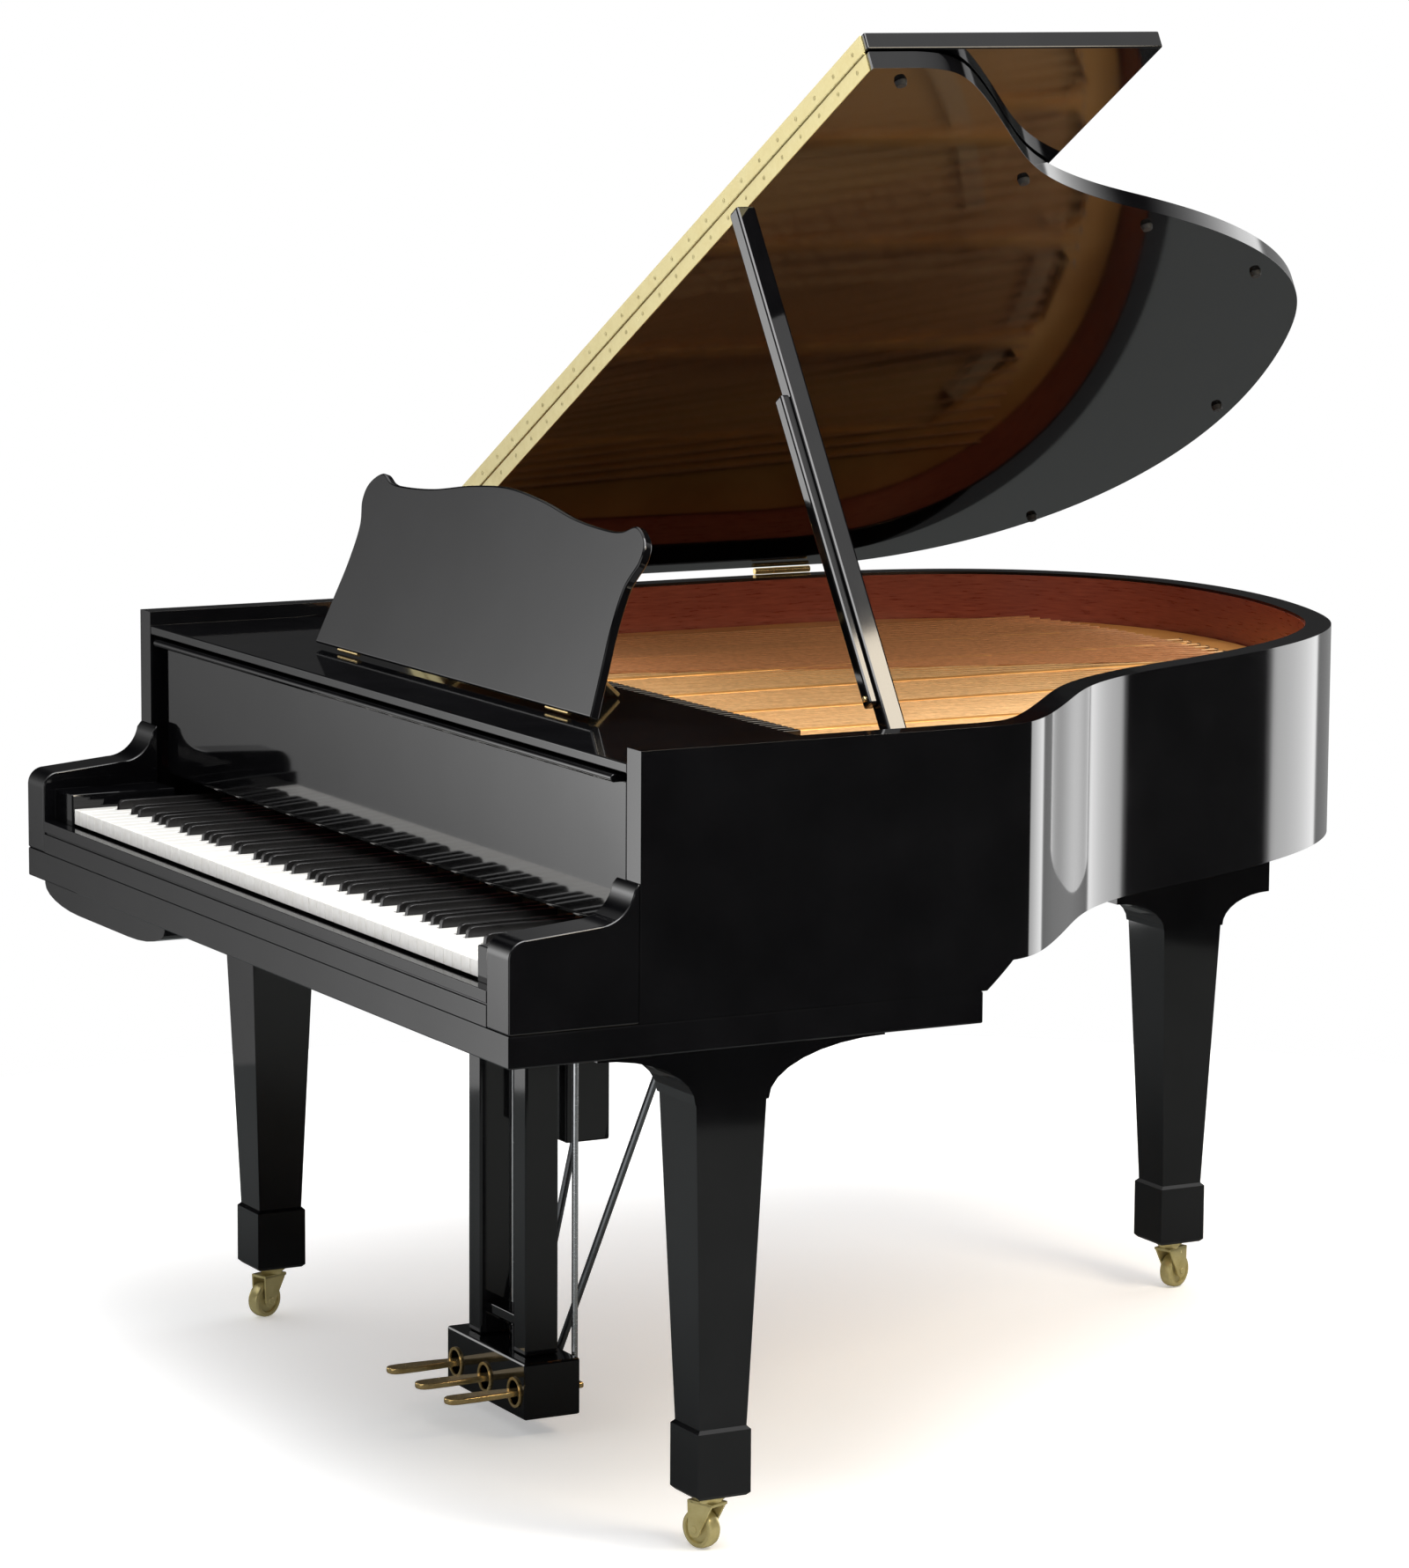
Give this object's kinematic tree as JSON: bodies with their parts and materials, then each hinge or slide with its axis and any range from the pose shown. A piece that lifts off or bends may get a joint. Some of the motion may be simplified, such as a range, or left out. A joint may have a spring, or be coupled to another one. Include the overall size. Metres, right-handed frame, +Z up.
{
  "type": "baby grand piano",
  "caption": "Black polished baby grand piano with its lid propped open, raised music desk, full keyboard, pedal lyre and square tapered legs on brass casters.",
  "frame": {"origin": "middle of the piano's footprint box, on the floor under the casters", "axes": "+X towards the treble end, +Y from the keyboard towards the tail, +Z up"},
  "size_m": [1.4886, 1.6456, 1.7626],
  "materials": {
    "polished_black": "mirror-polished black lacquer",
    "polished_brass": "polished",
    "polished_steel": "polished nickel",
    "mahogany": "satin red-brown",
    "gold_iron": "satin gold bronze paint",
    "spruce": "satin varnish",
    "key_white": "glossy ivory white",
    "key_black": "satin black"
  },
  "bodies": {
    "case": {"arm_bass": "polished_black", "arm_treble": "polished_black", "bass_bridge": "mahogany", "belly_rail": "mahogany", "control_box": "polished_black", "inner_rim": "mahogany", "iron_plate": "gold_iron", "key_block_bass": "polished_black", "key_block_treble": "polished_black", "key_slip": "polished_black", "keybed": "polished_black", "leg_bass": "polished_black", "leg_bracket_bass": "polished_black", "leg_bracket_tail": "polished_black", "leg_bracket_treble": "polished_black", "leg_tail": "polished_black", "leg_treble": "polished_black", "lid_hinge_front": "polished_brass", "lid_hinge_rear": "polished_brass", "lyre_block": "polished_black", "lyre_box": "polished_black", "lyre_brace_bass": "polished_steel", "lyre_brace_treble": "polished_steel", "lyre_post_bass": "polished_black", "lyre_post_treble": "polished_black", "name_board": "polished_black", "outer_rim": "polished_black", "prop_bracket": "polished_brass", "soundboard": "spruce", "treble_bridge": "mahogany"},
    "lid": {"lid_main": "polished_black", "flap_hinge_lid_leaf": "polished_brass"},
    "lid_flap": {"lid_flap": "polished_black", "flap_hinge_flap_leaf": "polished_brass"},
    "prop": {"lid_prop": "polished_black"},
    "half_prop": {"half_prop": "polished_black"},
    "shelf": {"music_shelf": "polished_black"},
    "desk": {"music_desk": "polished_black"},
    "desk_strut_bass": {"desk_strut_bass": "polished_brass"},
    "desk_strut_treble": {"desk_strut_treble": "polished_brass"},
    "fallboard": {"fallboard": "polished_black"},
    "pedal_soft": {"pedal_soft": "polished_brass"},
    "pedal_rod_soft": {"pedal_rod_soft": "polished_brass"},
    "pedal_sostenuto": {"pedal_sostenuto": "polished_brass"},
    "pedal_rod_sostenuto": {"pedal_rod_sostenuto": "polished_brass"},
    "pedal_damper": {"pedal_damper": "polished_brass"},
    "pedal_rod_damper": {"pedal_rod_damper": "polished_brass"},
    "caster_fork_bass": {"caster_fork_bass": "polished_brass"},
    "caster_wheel_bass": {"caster_wheel_bass": "polished_brass"},
    "caster_fork_treble": {"caster_fork_treble": "polished_brass"},
    "caster_wheel_treble": {"caster_wheel_treble": "polished_brass"},
    "caster_fork_tail": {"caster_fork_tail": "polished_brass"},
    "caster_wheel_tail": {"caster_wheel_tail": "polished_brass"},
    "white_keys_bass": {"white_keys_bass": "key_white"},
    "white_key_c4": {"white_key_c4": "key_white"},
    "white_key_d4": {"white_key_d4": "key_white"},
    "white_keys_treble": {"white_keys_treble": "key_white"},
    "sharps_bass": {"sharps_bass": "key_black"},
    "sharp_c4": {"sharp_c4": "key_black"},
    "sharps_treble": {"sharps_treble": "key_black"}
  },
  "joints": [
    {"name": "lid_hinge", "type": "hinge", "parent": "case", "child": "lid", "pos_m": [-0.72304, 0.10224, 0.973], "axis": [0, -1, 0], "range_deg": [-30.3, 10]},
    {"name": "flap_hinge", "type": "hinge", "parent": "lid", "child": "lid_flap", "pos_m": [-0.13269, -0.25776, 1.35017], "axis": [-0.8634, 0, -0.5045], "range_deg": [-180, 0]},
    {"name": "prop_fold", "type": "hinge", "parent": "case", "child": "prop", "pos_m": [0.66996, -0.27576, 0.925], "axis": [0.6999, 0.5528, 0.4523], "range_deg": [-70.34, 0]},
    {"name": "half_prop_fold", "type": "hinge", "parent": "prop", "child": "half_prop", "pos_m": [0.62654, -0.29576, 0.99219], "axis": [0, 1, 0], "range_deg": [0, 25]},
    {"name": "shelf_slide", "type": "slide", "parent": "case", "child": "shelf", "axis": [0, 1, 0], "range_m": [0, 0.05]},
    {"name": "desk_tilt", "type": "hinge", "parent": "shelf", "child": "desk", "pos_m": [0.01496, -0.54276, 0.965], "axis": [1, 0, 0], "range_deg": [-70, 0]},
    {"name": "desk_strut_bass_fold", "type": "hinge", "parent": "desk", "child": "desk_strut_bass", "pos_m": [-0.18504, -0.50694, 1.0371], "axis": [1, 0, 0], "range_deg": [0, 113.39]},
    {"name": "desk_strut_treble_fold", "type": "hinge", "parent": "desk", "child": "desk_strut_treble", "pos_m": [0.21496, -0.50694, 1.0371], "axis": [1, 0, 0], "range_deg": [0, 113.39]},
    {"name": "fallboard_hinge", "type": "hinge", "parent": "case", "child": "fallboard", "pos_m": [0.01496, -0.63776, 0.757], "axis": [-1, 0, 0], "range_deg": [-90, 0]},
    {"name": "pedal_soft_press", "type": "hinge", "parent": "case", "child": "pedal_soft", "pos_m": [-0.07004, -0.45776, 0.058], "axis": [1, 0, 0], "range_deg": [0, 6], "stiffness_Nm_per_rad": 30, "springref_deg": -5.73},
    {"name": "pedal_rod_soft_lift", "type": "slide", "parent": "case", "child": "pedal_rod_soft", "axis": [0, 0, 1], "range_m": [0, 0.005]},
    {"name": "pedal_sostenuto_press", "type": "hinge", "parent": "case", "child": "pedal_sostenuto", "pos_m": [0.01496, -0.45776, 0.058], "axis": [1, 0, 0], "range_deg": [0, 6], "stiffness_Nm_per_rad": 30, "springref_deg": -5.73},
    {"name": "pedal_rod_sostenuto_lift", "type": "slide", "parent": "case", "child": "pedal_rod_sostenuto", "axis": [0, 0, 1], "range_m": [0, 0.005]},
    {"name": "pedal_damper_press", "type": "hinge", "parent": "case", "child": "pedal_damper", "pos_m": [0.09996, -0.45776, 0.058], "axis": [1, 0, 0], "range_deg": [0, 6], "stiffness_Nm_per_rad": 30, "springref_deg": -5.73},
    {"name": "pedal_rod_damper_lift", "type": "slide", "parent": "case", "child": "pedal_rod_damper", "axis": [0, 0, 1], "range_m": [0, 0.005]},
    {"name": "caster_bass_swivel", "type": "hinge", "parent": "case", "child": "caster_fork_bass", "pos_m": [-0.62004, -0.51276, 0.06], "axis": [0, 0, 1], "continuous": true},
    {"name": "caster_bass_roll", "type": "hinge", "parent": "caster_fork_bass", "child": "caster_wheel_bass", "pos_m": [-0.61525, -0.52592, 0.024], "axis": [-0.9397, -0.342, 0], "continuous": true},
    {"name": "caster_treble_swivel", "type": "hinge", "parent": "case", "child": "caster_fork_treble", "pos_m": [0.64996, -0.51276, 0.06], "axis": [0, 0, 1], "continuous": true},
    {"name": "caster_treble_roll", "type": "hinge", "parent": "caster_fork_treble", "child": "caster_wheel_treble", "pos_m": [0.6368, -0.51755, 0.024], "axis": [-0.342, 0.9397, 0], "continuous": true},
    {"name": "caster_tail_swivel", "type": "hinge", "parent": "case", "child": "caster_fork_tail", "pos_m": [-0.19504, 0.66724, 0.06], "axis": [0, 0, 1], "continuous": true},
    {"name": "caster_tail_roll", "type": "hinge", "parent": "caster_fork_tail", "child": "caster_wheel_tail", "pos_m": [-0.19983, 0.6804, 0.024], "axis": [0.9397, 0.342, 0], "continuous": true},
    {"name": "white_keys_bass_press", "type": "hinge", "parent": "case", "child": "white_keys_bass", "pos_m": [-0.32663, -0.58276, 0.69], "axis": [1, 0, 0], "range_deg": [0, 2.4], "stiffness_Nm_per_rad": 23, "springref_deg": -17.19},
    {"name": "white_key_c4_press", "type": "hinge", "parent": "case", "child": "white_key_c4", "pos_m": [-0.04393, -0.58276, 0.69], "axis": [1, 0, 0], "range_deg": [0, 2.4], "stiffness_Nm_per_rad": 1, "springref_deg": -17.19},
    {"name": "white_key_d4_press", "type": "hinge", "parent": "case", "child": "white_key_d4", "pos_m": [-0.02038, -0.58276, 0.69], "axis": [1, 0, 0], "range_deg": [0, 2.4], "stiffness_Nm_per_rad": 1, "springref_deg": -17.19},
    {"name": "white_keys_treble_press", "type": "hinge", "parent": "case", "child": "white_keys_treble", "pos_m": [0.30943, -0.58276, 0.69], "axis": [1, 0, 0], "range_deg": [0, 2.4], "stiffness_Nm_per_rad": 27, "springref_deg": -17.19},
    {"name": "sharps_bass_press", "type": "hinge", "parent": "case", "child": "sharps_bass", "pos_m": [-0.3266, -0.58276, 0.69], "axis": [1, 0, 0], "range_deg": [0, 2.4], "stiffness_Nm_per_rad": 14.4, "springref_deg": -17.19},
    {"name": "sharp_c4_press", "type": "hinge", "parent": "case", "child": "sharp_c4", "pos_m": [-0.03216, -0.58276, 0.69], "axis": [1, 0, 0], "range_deg": [0, 2.4], "stiffness_Nm_per_rad": 0.9, "springref_deg": -17.19},
    {"name": "sharps_treble_press", "type": "hinge", "parent": "case", "child": "sharps_treble", "pos_m": [0.28585, -0.58276, 0.69], "axis": [1, 0, 0], "range_deg": [0, 2.4], "stiffness_Nm_per_rad": 17.1, "springref_deg": -17.19}
  ],
  "couplings": [
    {"joint": "desk_strut_bass_fold", "follows": "desk_tilt", "ratio": -1.6127},
    {"joint": "desk_strut_treble_fold", "follows": "desk_tilt", "ratio": -1.6127},
    {"joint": "pedal_rod_soft_lift", "follows": "pedal_soft_press", "m_per_rad": 0.045},
    {"joint": "pedal_rod_sostenuto_lift", "follows": "pedal_sostenuto_press", "m_per_rad": 0.045},
    {"joint": "pedal_rod_damper_lift", "follows": "pedal_damper_press", "m_per_rad": 0.045}
  ]
}
